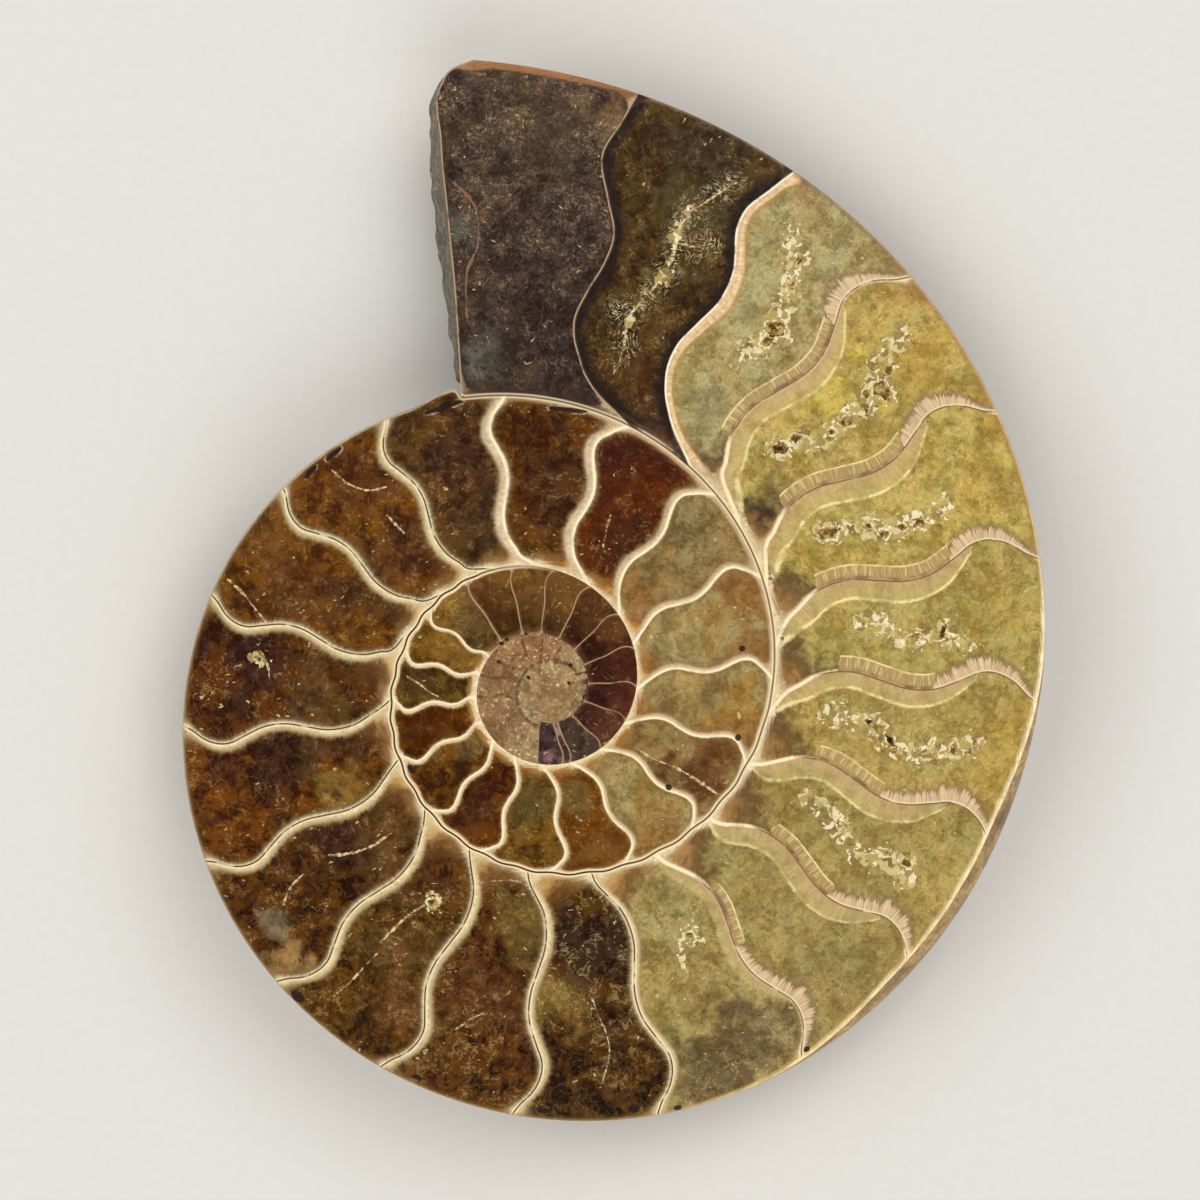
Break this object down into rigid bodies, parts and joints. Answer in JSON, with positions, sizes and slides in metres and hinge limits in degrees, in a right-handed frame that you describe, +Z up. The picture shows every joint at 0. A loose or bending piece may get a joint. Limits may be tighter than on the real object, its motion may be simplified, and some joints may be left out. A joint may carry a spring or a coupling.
{
  "type": "ammonite fossil half",
  "caption": "Sawn and polished half of a coiled ammonite shell, with curved chamber walls, crystal-filled chambers and a rounded, faintly ribbed back.",
  "frame": {"origin": "middle of the footprint, on the table that the half lies on", "axes": "+Z up out of the polished cut face, +Y towards the broken mouth, the long way of the half"},
  "size_m": [0.0864, 0.1062, 0.013],
  "materials": {
    "fossil_stone": "polished cut face with cream walls around brown and olive calcite; satin ochre shell on the back; broken grey-brown mouth"
  },
  "bodies": {
    "root": {"ammonite_half": "fossil_stone"}
  },
  "joints": []
}
